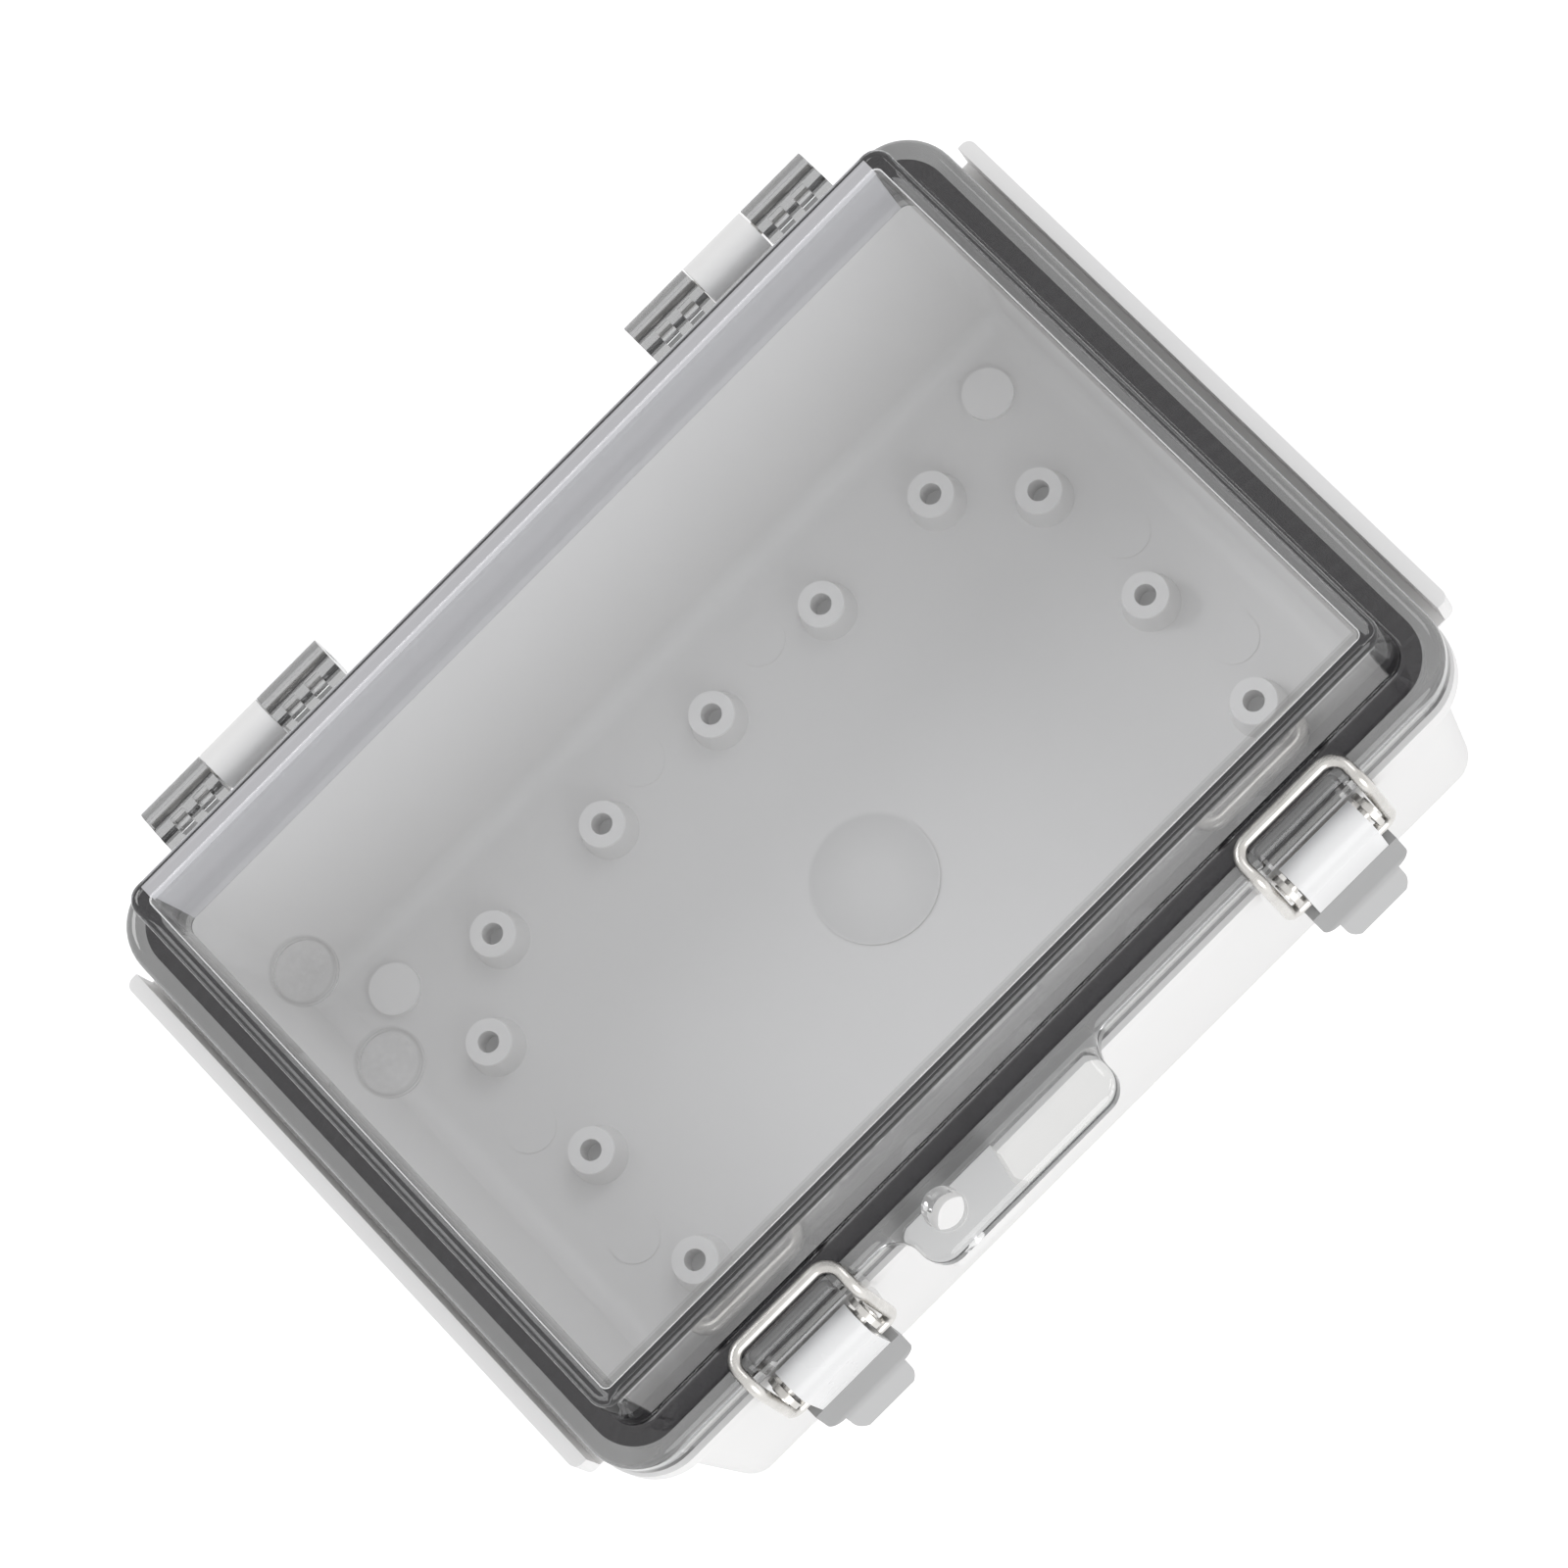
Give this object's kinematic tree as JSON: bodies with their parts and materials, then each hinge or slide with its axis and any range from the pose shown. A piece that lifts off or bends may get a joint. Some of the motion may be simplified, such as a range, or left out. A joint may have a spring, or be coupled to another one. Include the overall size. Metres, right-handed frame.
{
  "type": "junction box",
  "caption": "Wall-mounted plastic junction box with a hinged clear raised lid, wire-bail latches, a padlock tab and mounting bosses on its floor.",
  "frame": {"origin": "middle of the flat back face, which lies on the wall", "axes": "+Z out of the wall towards the lid, +X along the long side, the latches at -Y and the hinges at +Y"},
  "size_m": [0.2202, 0.1728, 0.1105],
  "materials": {
    "base_plastic": "smooth moulded light warm grey",
    "clear_lid": "clear, slightly smoky, polished",
    "seal": "foamed seal, charcoal",
    "steel": "stainless",
    "lever_grey": "smooth moulded mid grey",
    "lever_white": "smooth white"
  },
  "bodies": {
    "base": {"base": "base_plastic", "hinge_pin_left": "steel", "hinge_pin_right": "steel", "latch_bracket_left": "steel", "latch_bracket_right": "steel", "bracket_screws_left": "steel", "bracket_screws_right": "steel", "latch_pivot_left": "steel", "latch_pivot_right": "steel"},
    "lid": {"lid": "clear_lid", "lid_gasket": "seal"},
    "lever_left": {"lever_core_left": "lever_grey", "lever_cover_left": "lever_white"},
    "lever_right": {"lever_core_right": "lever_grey", "lever_cover_right": "lever_white"},
    "bail_left": {"bail_left": "steel"},
    "bail_right": {"bail_right": "steel"}
  },
  "joints": [
    {"name": "lid_hinge", "type": "hinge", "parent": "base", "child": "lid", "pos_m": [0, 0.0816, 0.0807], "axis": [-1, 0, 0], "range_deg": [0, 180]},
    {"name": "lever_left_turn", "type": "hinge", "parent": "base", "child": "lever_left", "pos_m": [-0.0629, -0.07865, 0.0815], "axis": [-1, 0, 0], "range_deg": [0, 130]},
    {"name": "bail_left_turn", "type": "hinge", "parent": "lever_left", "child": "bail_left", "pos_m": [-0.0629, -0.07975, 0.0705], "axis": [1, 0, 0], "range_deg": [0, 195]},
    {"name": "lever_right_turn", "type": "hinge", "parent": "base", "child": "lever_right", "pos_m": [0.0629, -0.07865, 0.0815], "axis": [-1, 0, 0], "range_deg": [0, 130]},
    {"name": "bail_right_turn", "type": "hinge", "parent": "lever_right", "child": "bail_right", "pos_m": [0.0629, -0.07975, 0.0705], "axis": [1, 0, 0], "range_deg": [0, 195]}
  ],
  "couplings": [
    {"joint": "bail_left_turn", "follows": "lever_left_turn", "ratio": 1.5},
    {"joint": "bail_right_turn", "follows": "lever_right_turn", "ratio": 1.5}
  ]
}
